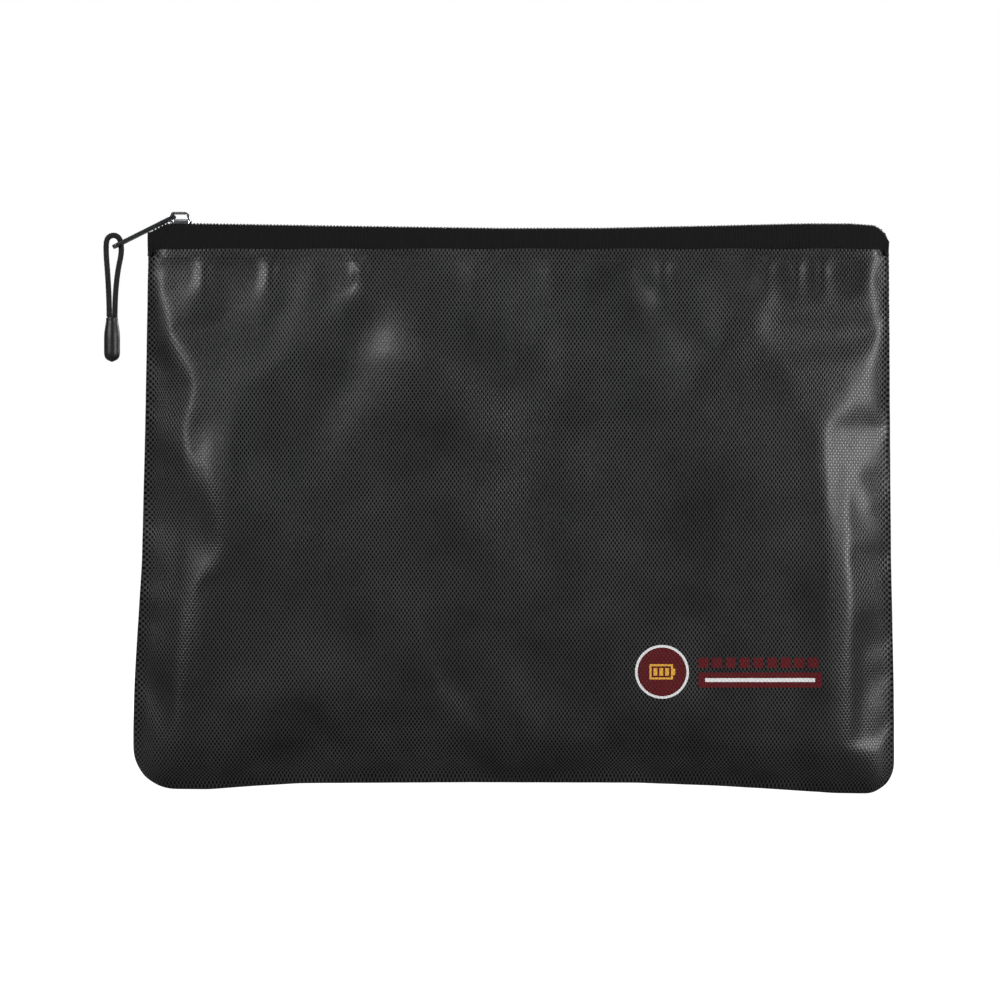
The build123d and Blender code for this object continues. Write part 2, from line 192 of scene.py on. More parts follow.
def evenly_along(points, count):
    """The line again as count points evenly spaced along it, with its direction at each."""
    points = np.array(points)
    along = np.concatenate([[0.0], np.cumsum(np.linalg.norm(np.diff(points, axis=0), axis=1))])
    at = np.linspace(0.0, along[-1], count)
    line = np.stack([np.interp(at, along, points[:, axis]) for axis in range(3)], axis=1)
    ways = np.gradient(line, axis=0)
    return line, ways / np.linalg.norm(ways, axis=1)[:, None]


route = bpy.data.curves.new("cord_route", "CURVE")
route.dimensions = "3D"
route.resolution_u = 24
route_line = route.splines.new("NURBS")
route_line.points.add(len(CORD_ROUTE) - 1)
for point, (across, up) in zip(route_line.points, CORD_ROUTE):
    point.co = (*(CORD_HOLE + Vector((across, 0.0, up))), 1.0)
route_line.order_u = 3
route_line.use_endpoint_u = True
route_mesh = bpy.data.meshes.new_from_object(bpy.data.objects.new("cord_route", route))
route_points = [tuple(vertex.co) for vertex in route_mesh.vertices]

braid_line, braid_ways = evenly_along(route_points, BRAID_TURNS * BRAID_STEPS_PER_TURN + 1)
sideways = np.array([0.0, 1.0, 0.0])
strands = []
for number in range(BRAID_STRANDS):
    turn = 1 if number % 2 else -1
    start = math.tau * (number // 2) / (BRAID_STRANDS // 2)
    strand = []
    for step, (place, way) in enumerate(zip(braid_line, braid_ways)):
        angle = start + turn * math.tau * step / BRAID_STEPS_PER_TURN
        over = turn * math.sin(BRAID_STRANDS / 4 * math.tau * step / BRAID_STEPS_PER_TURN)
        radius = BRAID_RADIUS + BRAID_WEAVE * over
        outwards = math.cos(angle) * sideways + math.sin(angle) * np.cross(way, sideways)
        strand.append(tuple(place + radius * outwards))
    strands.append(strand)
pull_cord = as_mesh(strands_along(strands, STRAND_RADIUS, 6), "braided_pull_cord")
cord_core = strands_along([[tuple(place) for place in braid_line]], BRAID_RADIUS, 12)
core_mesh = bpy.data.meshes.new_from_object(cord_core)
joined = bmesh.new()
joined.from_mesh(pull_cord.data)
joined.from_mesh(core_mesh)
joined.to_mesh(pull_cord.data)
joined.free()
pull_cord.data.shade_smooth()


def wire(material, start, end):
    """Join an output socket to an input socket in a material."""
    material.node_tree.links.new(start, end)


def add_nodes(material, group, place, **values):
    """Put a shader node group in a material, read at a place socket, with its own values."""
    node = material.node_tree.nodes.new("ShaderNodeGroup")
    node.node_tree = group
    wire(material, place, node.inputs["Place"])
    for name, value in values.items():
        node.inputs[name.replace("_", " ")].default_value = value
    return node


def new_group(name, inputs, outputs):
    """A shader node group with named inputs and outputs, each given as (name, socket type, value)."""
    group = bpy.data.node_groups.new(name, "ShaderNodeTree")
    for label, kind, value in inputs:
        socket = group.interface.new_socket(label, in_out="INPUT", socket_type=kind)
        if value is not None:
            socket.default_value = value
    for label, kind in outputs:
        group.interface.new_socket(label, in_out="OUTPUT", socket_type=kind)
    return group, group.nodes.new("NodeGroupInput"), group.nodes.new("NodeGroupOutput")


def sum_node(tree, operation, first, second=None, third=None):
    """A Math node in a tree. Each operand is a socket or a number."""
    node = tree.nodes.new("ShaderNodeMath")
    node.operation = operation
    for slot, operand in enumerate((first, second, third)):
        if operand is None:
            continue
        if isinstance(operand, (int, float)):
            node.inputs[slot].default_value = operand
        else:
            tree.links.new(operand, node.inputs[slot])
    return node.outputs[0]


def noise_node(tree, vector, scale, detail=2.0):
    """A Noise Texture in a tree, read at a vector socket."""
    node = tree.nodes.new("ShaderNodeTexNoise")
    node.inputs["Scale"].default_value = scale
    node.inputs["Detail"].default_value = detail
    tree.links.new(vector, node.inputs["Vector"])
    return node.outputs["Fac"]


def two_tone(material, fac, dark, light):
    """Mix two colours by a socket from 0 to 1, into the material's base colour."""
    mix = material.node_tree.nodes.new("ShaderNodeMix")
    mix.data_type = "RGBA"
    mix.inputs["A"].default_value = (*dark, 1.0)
    mix.inputs["B"].default_value = (*light, 1.0)
    shader = material.node_tree.nodes["Principled BSDF"]
    wire(material, fac, mix.inputs["Factor"])
    wire(material, mix.outputs["Result"], shader.inputs["Base Color"])


def bump_into(material, height, distance, strength=1.0):
    """Raise the surface by a height socket, through a Bump node."""
    bump = material.node_tree.nodes.new("ShaderNodeBump")
    bump.inputs["Distance"].default_value = distance
    bump.inputs["Strength"].default_value = strength
    shader = material.node_tree.nodes["Principled BSDF"]
    wire(material, height, bump.inputs["Height"])
    wire(material, bump.outputs["Normal"], shader.inputs["Normal"])


# Fine fibres: the small random streaks of yarn, on the cord, the tapes and the threads.
fibre_group, fibre_in, fibre_out = new_group(
    "fine_fibres",
    [("Place", "NodeSocketVector", None), ("Size", "NodeSocketFloat", 9000.0)],
    [("Streak", "NodeSocketFloat")],
)
fibre_noise = fibre_group.nodes.new("ShaderNodeTexNoise")
fibre_noise.inputs["Detail"].default_value = 3.0
fibre_group.links.new(fibre_in.outputs["Place"], fibre_noise.inputs["Vector"])
fibre_group.links.new(fibre_in.outputs["Size"], fibre_noise.inputs["Scale"])
fibre_group.links.new(fibre_noise.outputs["Fac"], fibre_out.inputs["Streak"])


def object_place(material):
    """The Object coordinates of a material."""
    return material.node_tree.nodes.new("ShaderNodeTexCoord").outputs["Object"]


cord_yarn, cord_shader = new_material("cord_yarn", (0.008, 0.008, 0.008), 0.62, specular=0.30)
cord_shader.inputs["Sheen Weight"].default_value = 0.04
cord_fibres = add_nodes(cord_yarn, fibre_group, object_place(cord_yarn), Size=4500.0)
two_tone(cord_yarn, cord_fibres.outputs["Streak"], (0.003, 0.003, 0.003), (0.016, 0.016, 0.017))
bump_into(cord_yarn, cord_fibres.outputs["Streak"], 0.00008)


def fit_piece(piece, material, body, node, slot):
    """Give a piece its material and its body, and let it stand for a part of the frame."""
    piece.data.materials.append(material)
    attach(piece, body)
    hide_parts(node)


fit_piece(pull_cord, cord_yarn, "pull", "pull_cord", "pull_cord")


# Grip: a soft moulded barrel on the ends of the cord, narrower at its top and round at its foot, with a
# parting line down each side and a raised collar where the cord goes in.
grip_low, grip_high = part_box("cord_grip")
grip_middle = (grip_low + grip_high) / 2
grip_radius = (grip_high.x - grip_low.x) / 2
GRIP_TOP_RADIUS = 0.0027
GRIP_RINGS, GRIP_SIDES = 14, 48
WAIST, WAIST_SHARE = 0.74, 0.42
FOOT_ROUND, FOOT_CURVE = 1.15, 2.3
PARTING_LINE = 1.012

grip_shape = bmesh.new()
profile = [
    Vector((GRIP_TOP_RADIUS * 0.55, 0, grip_high.z - 0.0012)),
    Vector((GRIP_TOP_RADIUS * 0.60, 0, grip_high.z)),
    Vector((GRIP_TOP_RADIUS * 0.92, 0, grip_high.z)),
    Vector((GRIP_TOP_RADIUS, 0, grip_high.z - 0.0005)),
    Vector((GRIP_TOP_RADIUS, 0, grip_high.z - 0.0014)),
]
grip_body_top = grip_high.z - 0.0017
for ring in range(GRIP_RINGS + 1):
    share = ring / GRIP_RINGS
    height = grip_body_top + (grip_low.z - grip_body_top) * share
    swell = min(1.0, WAIST + (1 - WAIST) * math.sin(min(1.0, share / WAIST_SHARE) * math.pi / 2))
    from_foot = (height - grip_low.z) / grip_radius
    if from_foot < FOOT_ROUND:
        swell *= math.sqrt(max(0.0, 1 - (1 - from_foot / FOOT_ROUND) ** FOOT_CURVE))
    profile.append(Vector((max(grip_radius * swell, 0.00001), 0, height)))
corners = [grip_shape.verts.new(corner) for corner in profile]
edges = [grip_shape.edges.new(pair) for pair in zip(corners, corners[1:])]
bmesh.ops.spin(
    grip_shape, geom=corners + edges, cent=(0, 0, 0), axis=(0, 0, 1), angle=math.tau,
    steps=GRIP_SIDES, use_merge=True,
)
bmesh.ops.remove_doubles(grip_shape, verts=grip_shape.verts, dist=0.00003)
bmesh.ops.holes_fill(grip_shape, edges=[edge for edge in grip_shape.edges if edge.is_boundary])
for vertex in grip_shape.verts:
    beside = abs(vertex.co.x) < grip_radius * 0.06 and abs(vertex.co.y) > grip_radius * 0.5
    vertex.co.y *= PARTING_LINE if beside else 1.0
bmesh.ops.translate(grip_shape, verts=grip_shape.verts, vec=(grip_middle.x, grip_middle.y, 0))
bmesh.ops.recalc_face_normals(grip_shape, faces=grip_shape.faces)


def piece_from(shape, name):
    """Turn a finished bmesh into a piece at the origin, smooth but for the borders of an open sheet."""
    mesh = bpy.data.meshes.new(name)
    for face in shape.faces:
        face.smooth = True
    for edge in shape.edges:
        edge.smooth = not edge.is_boundary
    shape.to_mesh(mesh)
    shape.free()
    piece = bpy.data.objects.new(name, mesh)
    scene.collection.objects.link(piece)
    return piece


def smooth_out(piece):
    """Add a live Subdivision Surface, the same in the view and the render."""
    modifier = piece.modifiers.new("rounding", "SUBSURF")
    modifier.levels = modifier.render_levels = 1


cord_grip = piece_from(grip_shape, "moulded_cord_grip")
smooth_out(cord_grip)
grip_rubber, _ = new_material("grip_rubber", (0.007, 0.007, 0.007), 0.42, specular=0.40)
grip_grain = noise_node(grip_rubber.node_tree, object_place(grip_rubber), 3500.0, 4.0)
two_tone(grip_rubber, grip_grain, (0.004, 0.004, 0.004), (0.010, 0.010, 0.010))
bump_into(grip_rubber, grip_grain, 0.00004)
fit_piece(cord_grip, grip_rubber, "pull", "cord_grip", "grip_rubber")
tuple(route_points[0])


# Panels: the front and back of the pouch, cut from silicone-coated glass cloth, sewn together round
# three sides, and turned. They settle as one shell of cloth with a little air in it, held at the seams
# and at the rim, and with slightly more cloth than the outline, so that it gathers.
panel_low, panel_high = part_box("front_outer_panel")
HALF_DEPTH = -panel_low.y
RIM = panel_high.z
LEFT_FLARE, RIGHT_FLARE = 0.0067, 0.0023
LEFT_CORNER, RIGHT_CORNER = 0.019, 0.013
SEAM_PINCH = 0.0006
RIM_SHARE = 0.53
PANEL_THICKNESS = 0.0008
COLUMNS, ROWS = 124, 68
# Round the turned seam: the way round the cloth, how far in from the outline, and the share of depth
SEAM_PROFILE = (
    (0.0, 0.0, 0.012), (0.0010, 0.0, 0.085), (0.0024, 0.0007, 0.175),
    (0.0047, 0.0025, 0.29), (0.0090, 0.0058, 0.47), (0.0140, 0.0100, 0.64),
    (0.0250, 0.0205, 0.90), (0.0360, 0.0320, 1.0),
)
SEAM_LINES = 5
# Shares of the flare of each side, from the bottom seam up to the rim, as shares of the height
FLARE_STEPS = (
    (0.0, 1.0), (0.12, 1.0), (0.20, 0.93), (0.29, 0.74), (0.43, 0.43), (0.67, 0.22), (1.0, 0.0),
)
# The bottom seam's height over the floor: the pouch stands on its two corners
BOTTOM_STEPS = (
    (0.0, 0.0024), (0.06, 0.0020), (0.10, 0.0019), (0.16, 0.0034), (0.22, 0.0046),
    (0.45, 0.0050), (0.66, 0.0048), (0.76, 0.0036), (0.85, 0.0018), (0.92, 0.0002), (0.97, 0.0),
    (1.0, 0.0009),
)
# Broad folds: shares across and up, the fold's lean in degrees, half its length and width, its height
FRONT_FOLDS = (
    (0.375, 0.84, -58, 0.050, 0.017, 0.0045), (0.155, 0.52, -48, 0.050, 0.018, 0.0042),
    (0.40, 0.55, -60, 0.045, 0.022, 0.0020), (0.79, 0.89, 62, 0.040, 0.015, 0.0042),
    (0.93, 0.32, 80, 0.060, 0.014, 0.0036), (0.70, 0.90, -62, 0.022, 0.007, 0.0018),
    (0.56, 0.66, 72, 0.050, 0.022, -0.0040), (0.50, 0.20, 8, 0.090, 0.026, -0.0014),
    (0.08, 0.30, 80, 0.060, 0.013, 0.0030), (0.27, 0.76, 60, 0.040, 0.015, -0.0030),
    (0.60, 0.93, 80, 0.020, 0.010, 0.0014),
)
BACK_FOLDS = (
    (0.30, 0.70, 60, 0.060, 0.022, 0.0024), (0.72, 0.55, -50, 0.060, 0.020, 0.0022),
    (0.50, 0.25, 10, 0.080, 0.024, 0.0018), (0.14, 0.35, -75, 0.050, 0.018, 0.0020),
    (0.86, 0.80, 70, 0.040, 0.018, 0.0018),
)
# Gathers under the zip: the share across, half width and height of each
FRONT_GATHERS = (
    (0.025, 0.005, 0.0010), (0.095, 0.0055, 0.0015), (0.18, 0.0055, 0.0016), (0.30, 0.0060, 0.0020),
    (0.45, 0.010, 0.0008), (0.55, 0.009, 0.0008), (0.695, 0.0050, 0.0016), (0.83, 0.0050, 0.0016),
    (0.870, 0.0045, 0.0015), (0.905, 0.0045, 0.0013), (0.965, 0.0050, 0.0013),
)
BACK_GATHERS = (
    (0.06, 0.007, 0.0012), (0.17, 0.009, 0.0013), (0.28, 0.010, 0.0012), (0.41, 0.008, 0.0014),
    (0.58, 0.009, 0.0013), (0.71, 0.010, 0.0011), (0.84, 0.008, 0.0014), (0.95, 0.007, 0.0012),
)
GATHER_STEPS = ((0.0, 0.50), (0.003, 1.2), (0.008, 1.5), (0.016, 1.0), (0.032, 0.0))


def seam_left(height):
    """X of the left seam at a height."""
    share = np.interp(height / RIM, *zip(*FLARE_STEPS))
    return panel_low.x + LEFT_FLARE * (1 - share)


def seam_right(height):
    """X of the right seam at a height."""
    share = np.interp(height / RIM, *zip(*FLARE_STEPS))
    return panel_high.x - RIGHT_FLARE * (1 - share)


def seam_bottom(across):
    """Height of the bottom seam at an X."""
    share = (across - panel_low.x) / (panel_high.x - panel_low.x)
    return np.interp(share, *zip(*BOTTOM_STEPS))


def line_places(count, both_ends):
    """Grid lines as the share of the free span, the insets at its start and end, and the way round."""
    ways, insets, _ = zip(*SEAM_PROFILE[:SEAM_LINES])
    places = [(0.0, inset, 0.0, way - inset) for way, inset in zip(ways, insets)]
    inner = count + 1 - SEAM_LINES * (2 if both_ends else 1)
    for number in range(inner):
        share = (number + 1) / (inner + (1 if both_ends else 0))
        places.append((share, insets[-1], insets[-1] if both_ends else 0.0, 0.0))
    if both_ends:
        places += [(1.0, 0.0, inset, way - inset) for way, inset in reversed(list(zip(ways, insets)))]
    return places


# How the depth grows from the rim's to the whole: below the rim, share
RIM_STEPS = ((0.0, 0.0), (0.004, 0.03), (0.014, 0.20), (0.030, 0.55), (0.048, 0.86), (0.070, 1.0))
LOOSE_FROM = 0.02
FOLD_FADE = (0.12, 0.022)
GATHER_SPREAD = 1.4


def depth_share(distance):
    """Share of the pouch's depth at a distance in from a seam."""
    _, insets, shares = zip(*SEAM_PROFILE[1:])
    return np.interp(distance, insets, shares)


def fold_height(x, z, folds, gathers):
    """How far the broad folds and the gathers lift the cloth at a place."""
    width = panel_high.x - panel_low.x
    lift = 0.0
    for share_x, share_z, lean, half_length, half_width, height in folds:
        from_x = x - panel_low.x - share_x * width
        from_z = z - share_z * RIM
        along = from_x * math.cos(math.radians(lean)) + from_z * math.sin(math.radians(lean))
        beside = -from_x * math.sin(math.radians(lean)) + from_z * math.cos(math.radians(lean))
        lift += height * math.exp(-((along / half_length) ** 2) - (beside / half_width) ** 2)
    lift *= min(1.0, FOLD_FADE[0] + (RIM - z) / FOLD_FADE[1])
    fade = float(np.interp(RIM - z, *zip(*GATHER_STEPS)))
    for share_x, half_width, height in gathers:
        spread = half_width * (1 + GATHER_SPREAD * (1 - fade))
        from_x = x - panel_low.x - share_x * width
        lift += height * fade * math.exp(-((from_x / spread) ** 2))
    return lift


def unit_grid(across, up):
    """A flat grid as a bmesh, and each vertex's shares across and up it."""
    shape = bmesh.new()
    bmesh.ops.create_grid(shape, x_segments=across, y_segments=up, size=1.0)
    return shape, {vertex: ((vertex.co.x + 1) / 2, (vertex.co.y + 1) / 2) for vertex in shape.verts}


def panel_grid(side, folds, gathers):
    """One panel as a bmesh grid, shaped to the outline of the pouch, with its cut cloth as UVs."""
    columns = line_places(COLUMNS, True)
    rows = line_places(ROWS, False)
    shape, shares = unit_grid(COLUMNS, ROWS)
    cut = shape.loops.layers.uv.new("cloth")
    flat = {}
    lines = {}
    for vertex, (share_column, share_row) in shares.items():
        column, row = round(share_column * COLUMNS), round(share_row * ROWS)
        lines[vertex] = (column, row)
        share_x, inset_left, inset_right, extra_x = columns[column]
        share_z, inset_bottom, _, extra_z = rows[row]
        height = inset_bottom + share_z * (RIM - inset_bottom)
        left, right = seam_left(height), seam_right(height)
        x = left + inset_left + share_x * (right - left - inset_left - inset_right)
        lowest = seam_bottom(x) * (1 - share_z)
        z = height + lowest * (1 - share_z)
        from_left, from_right, from_bottom = x - left, right - x, height
        # Each bottom corner is rounded by moving the square grid onto a disc
        for distance, corner, way in ((from_left, LEFT_CORNER, -1), (from_right, RIGHT_CORNER, 1)):
            if distance < corner and from_bottom < corner:
                a, b = 1 - distance / corner, 1 - from_bottom / corner
                moved_a, moved_b = a * math.sqrt(1 - b * b / 2), b * math.sqrt(1 - a * a / 2)
                x += way * (moved_a - a) * corner
                z += (b - moved_b) * corner
        across = min(depth_share(from_left), depth_share(from_right))
        up = depth_share(from_bottom)
        rim_depth = RIM_SHARE + (1 - RIM_SHARE) * float(np.interp(RIM - height, *zip(*RIM_STEPS)))
        depth = (across**-3 + up**-3 + rim_depth**-3 - 2) ** (-1 / 3)
        if column in (0, COLUMNS) or row == 0:
            depth = min(depth, SEAM_PROFILE[0][2])
        loose = min(1.0, min(from_left, from_right, from_bottom) / LOOSE_FROM)
        lift = fold_height(x, z, folds, gathers) * max(0.0, loose)
        y = side * (depth * HALF_DEPTH + lift)
        flat[vertex] = (x - extra_x if column < COLUMNS / 2 else x + extra_x, z - extra_z)
        vertex.co = (x, y, z)
    grid = {place: vertex for vertex, place in lines.items()}
    for vertex, (column, row) in lines.items():
        if column in (0, COLUMNS) or row == 0:
            inner_column = min(max(column, 2), COLUMNS - 2)
            inwards = grid[inner_column, max(row, 2)].co - vertex.co
            inwards.y = 0
            vertex.co += inwards.normalized() * SEAM_PINCH
    for face in shape.faces:
        for loop in face.loops:
            loop[cut].uv = flat[loop.vert]
        if side > 0:
            face.normal_flip()
    return shape


pouch_shell = panel_grid(-1, FRONT_FOLDS, FRONT_GATHERS)
back_mesh = bpy.data.meshes.new("back_half")
back_shape = panel_grid(1, BACK_FOLDS, BACK_GATHERS)
back_shape.to_mesh(back_mesh)
back_shape.free()
front_faces = len(pouch_shell.faces)
pouch_shell.from_mesh(back_mesh)
seam_points = [v for v in pouch_shell.verts if abs(v.co.y) < 0.0004 and v.is_boundary]
bmesh.ops.remove_doubles(pouch_shell, verts=seam_points, dist=0.0005)

CLOTH_FRAMES, CLOTH_QUALITY = 22, 7
CLOTH_GROWTH = 0.0035
CLOTH_REACH = 0.0035
CLOTH_MASS, CLOTH_AIR = 0.35, 0.9
CLOTH_STRETCH, CLOTH_SHEAR, CLOTH_BEND = 25, 12, 6
HELD_AT_RIM, HELD_AT_SEAM = 0.0002, 0.0012


def simulate_cloth(piece, held):
    """Let the shell settle as cloth, held at some of its points, and keep the result."""
    group = piece.vertex_groups.new(name="held")
    group.add(held, 1.0, "REPLACE")
    cloth = piece.modifiers.new("cloth", "CLOTH")
    cloth.settings.quality = CLOTH_QUALITY
    cloth.settings.mass = CLOTH_MASS
    cloth.settings.tension_stiffness = CLOTH_STRETCH
    cloth.settings.compression_stiffness = CLOTH_STRETCH
    cloth.settings.shear_stiffness = CLOTH_SHEAR
    cloth.settings.bending_stiffness = CLOTH_BEND
    cloth.settings.vertex_group_mass = "held"
    cloth.settings.shrink_min = -CLOTH_GROWTH
    cloth.settings.use_pressure = True
    cloth.settings.uniform_pressure_force = CLOTH_AIR
    cloth.settings.effector_weights.gravity = 0.0
    cloth.collision_settings.use_collision = False
    scene.frame_start, scene.frame_end = 1, CLOTH_FRAMES
    for number in range(1, CLOTH_FRAMES + 1):
        scene.frame_set(number)
    settled_piece = piece.evaluated_get(bpy.context.evaluated_depsgraph_get())
    settled = bpy.data.meshes.new_from_object(settled_piece)
    piece.modifiers.remove(cloth)
    scene.frame_set(1)
    return np.array([v.co for v in settled.vertices])


held_points = [
    number for number, v in enumerate(pouch_shell.verts)
    if abs(v.co.z - RIM) < HELD_AT_RIM or v.is_boundary or abs(v.co.y) < HELD_AT_SEAM
]
pouch_piece = piece_from(pouch_shell, "pouch_shell")
before = np.array([v.co for v in pouch_piece.data.vertices])
after = simulate_cloth(pouch_piece, held_points)
moved = after - before
length = np.linalg.norm(moved, axis=1)[:, None]
moved *= np.minimum(1.0, CLOTH_REACH / np.maximum(length, 1e-9))
pouch_piece.data.vertices.foreach_set("co", (before + moved).astype(np.float32).ravel())
pouch_piece.data.update()


def thicken(piece, thickness, offset):
    """Give a sheet its thickness with a live modifier."""
    wall = piece.modifiers.new("thickness", "SOLIDIFY")
    wall.thickness, wall.offset = thickness, offset


def half_of(piece, side):
    """The front or the back half of the shell, as a bmesh."""
    shape = bmesh.new()
    shape.from_mesh(piece.data)
    wrong = [face for face in shape.faces if (face.index < front_faces) != (side < 0)]
    bmesh.ops.delete(shape, geom=wrong, context="FACES")
    return shape


# Weave: staggered diamonds of yarn under the coating, measured along the cloth in metres.
weave_group, weave_in, weave_out = new_group(
    "diamond_weave",
    [
        ("Place", "NodeSocketVector", None),
        ("Column pitch", "NodeSocketFloat", 0.0017),
        ("Row pitch", "NodeSocketFloat", 0.0025),
        ("Unevenness", "NodeSocketFloat", 0.00035),
    ],
    [("Height", "NodeSocketFloat"), ("Crown", "NodeSocketFloat")],
)
weave_place = weave_group.nodes.new("ShaderNodeSeparateXYZ")
weave_group.links.new(weave_in.outputs["Place"], weave_place.inputs["Vector"])
drift = noise_node(weave_group, weave_in.outputs["Place"], 160.0)
drift_by = sum_node(weave_group, "MULTIPLY", drift, weave_in.outputs["Unevenness"])
waves = []
for axis, pitch in (("X", "Column pitch"), ("Y", "Row pitch")):
    placed = sum_node(weave_group, "ADD", weave_place.outputs[axis], drift_by)
    turns = sum_node(weave_group, "DIVIDE", placed, weave_in.outputs[pitch])
    waves.append(sum_node(weave_group, "SINE", sum_node(weave_group, "MULTIPLY", turns, math.tau)))
product = sum_node(weave_group, "MULTIPLY", waves[0], waves[1])
pit = weave_group.nodes.new("ShaderNodeMapRange")
pit.interpolation_type = "SMOOTHSTEP"
pit.inputs["From Min"].default_value = -0.30
pit.inputs["From Max"].default_value = 0.50
weave_group.links.new(product, pit.inputs["Value"])
crown = sum_node(weave_group, "SUBTRACT", 1.0, pit.outputs["Result"])
yarn_height = sum_node(weave_group, "MULTIPLY_ADD", product, -0.15, crown)
weave_group.links.new(crown, weave_out.inputs["Crown"])
weave_group.links.new(yarn_height, weave_out.inputs["Height"])


def cloth_place(material):
    """The place on the flat cloth, from its own UV map."""
    node = material.node_tree.nodes.new("ShaderNodeUVMap")
    node.uv_map = "cloth"
    return node.outputs["UV"]


coated_cloth, cloth_shader = new_material(
    "coated_glass_cloth", (0.006, 0.006, 0.006), 0.42, specular=0.25,
)
cloth_weave = add_nodes(coated_cloth, weave_group, cloth_place(coated_cloth))
cloth_nodes = coated_cloth.node_tree
rub = noise_node(cloth_nodes, cloth_place(coated_cloth), 28.0, 4.0)
# The cloth's colour is near-black in the pits of the weave, which is painted shade in the pits, and
# lighter on the crowns, where rub varies it at random.
pit_shade_and_rub = sum_node(cloth_nodes, "MULTIPLY", cloth_weave.outputs["Crown"], rub)
two_tone(coated_cloth, pit_shade_and_rub, (0.0001, 0.0001, 0.0001), (0.072, 0.072, 0.073))
gloss = sum_node(cloth_nodes, "MULTIPLY_ADD", rub, -0.10, 0.27)
gloss = sum_node(cloth_nodes, "MULTIPLY_ADD", cloth_weave.outputs["Crown"], 0.18, gloss)
wire(coated_cloth, gloss, cloth_shader.inputs["Roughness"])
bump_into(coated_cloth, cloth_weave.outputs["Height"], 0.00005)

lining_cloth, _ = new_material("lining_cloth", (0.40, 0.40, 0.38), 0.8)
lining_weave = add_nodes(
    lining_cloth, weave_group, cloth_place(lining_cloth), Column_pitch=0.0011, Row_pitch=0.0011,
)
two_tone(lining_cloth, lining_weave.outputs["Crown"], (0.30, 0.30, 0.285), (0.52, 0.52, 0.50))
bump_into(lining_cloth, lining_weave.outputs["Height"], 0.00009)

# The cloth is cut larger than the outline, by what the seams take in
LINING_SINK = 0.0012
LINING_THICKNESS = 0.0005
LINING_BELOW_RIM = 0.006
SIDES = (("front", -1), ("back", 1))
panels = {}
for word, side in SIDES:
    panel = piece_from(half_of(pouch_piece, side), f"{word}_cloth_panel")
    smooth_out(panel)
    thicken(panel, PANEL_THICKNESS, -1.0)
    fit_piece(panel, coated_cloth, "pouch", f"{word}_outer_panel", "coated_glass_cloth")
    panels[word] = panel

    lining_shape = half_of(pouch_piece, side)
    edge_faces = [
        face for face in lining_shape.faces
        if face.calc_center_median().z < RIM - LINING_BELOW_RIM
        and any(v.is_boundary for v in face.verts)
    ]
    bmesh.ops.delete(lining_shape, geom=edge_faces, context="FACES")
    lining_shape.normal_update()
    sunk = {vertex: vertex.co - vertex.normal * LINING_SINK for vertex in lining_shape.verts}
    for vertex, place in sunk.items():
        vertex.co = place
    lining = piece_from(lining_shape, f"{word}_cloth_lining")
    smooth_out(lining)
    thicken(lining, LINING_THICKNESS, -1.0)
    fit_piece(lining, lining_cloth, "pouch", f"{word}_lining", "lining_cloth")
bpy.data.objects.remove(pouch_piece)


# Zip tapes: woven polyester. Each comes up from its seam on the rim, stands as a band, and folds over
# to its coil in the middle. Each is made as a left and a right half.
tape_low, tape_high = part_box("front_zip_tape")
seam_low, seam_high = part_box("front_tape_thread")
slider_low, slider_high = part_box("slider_body")
coil_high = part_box("front_zip_coil")[1]
HINGE_HEIGHT = (seam_low.z + seam_high.z) / 2
HINGE_DEPTH = -(seam_low.y + seam_high.y) / 2
TAPE_THICKNESS = 0.0006
TAPE_LEFT, TAPE_RIGHT = tape_low.x - 0.0014, tape_high.x + 0.0014
COIL_MIDDLE = coil_high.z - 0.00115
COIL_WIDTH = 0.0028
COIL_CLOSED, COIL_SPREAD = 0.0015, 0.0024
CHAIN_SAG = 0.0021
SLIDER_END = 0.0015
CHAIN_STEP = 0.0025
# The halves of a tape meet in the middle with a small lap, and step down by a hair past it
TAPE_SPLIT, TAPE_LAP, TAPE_UNDER = 0.0, 0.0030, 0.00008


def chain_height(x):
    """Height of the middle of the coil: it slopes to both ends and sags a little between them."""
    steps = (
        (tape_low.x, -0.00355), (slider_low.x - 0.0024, 0.0), (slider_high.x + 0.004, 0.0),
        (-0.060, -0.60 * CHAIN_SAG), (0.0, -CHAIN_SAG), (0.045, -0.95 * CHAIN_SAG),
        (0.095, -0.45 * CHAIN_SAG), (0.130, -0.05 * CHAIN_SAG), (0.1375, 0.0),
        (tape_high.x - 0.016, 0.0), (tape_high.x - 0.005, -0.0008),
        (tape_high.x - 0.0018, -0.0026), (tape_high.x, -0.0046), (TAPE_RIGHT, -0.0075),
    )
    return COIL_MIDDLE + float(np.interp(x, *zip(*steps)))


def coil_from_middle(x):
    """How far the middle of a coil is from the middle plane: parted in the slider, closed elsewhere."""
    steps = (
        (tape_low.x, COIL_CLOSED),
        (slider_low.x - 0.0024, COIL_SPREAD),
        (slider_low.x + 0.0032, COIL_SPREAD),
        (slider_high.x - SLIDER_END, COIL_CLOSED),
    )
    return float(np.interp(x, *zip(*steps)))


def rim_of(panel):
    """The rim of a panel, as rising X and the distance from the middle plane."""
    rim = sorted((v.co.x, abs(v.co.y)) for v in panel.data.vertices if abs(v.co.z - RIM) < 0.0003)
    return zip(*rim)


rims = {word: [np.array(values) for values in rim_of(panel)] for word, panel in panels.items()}


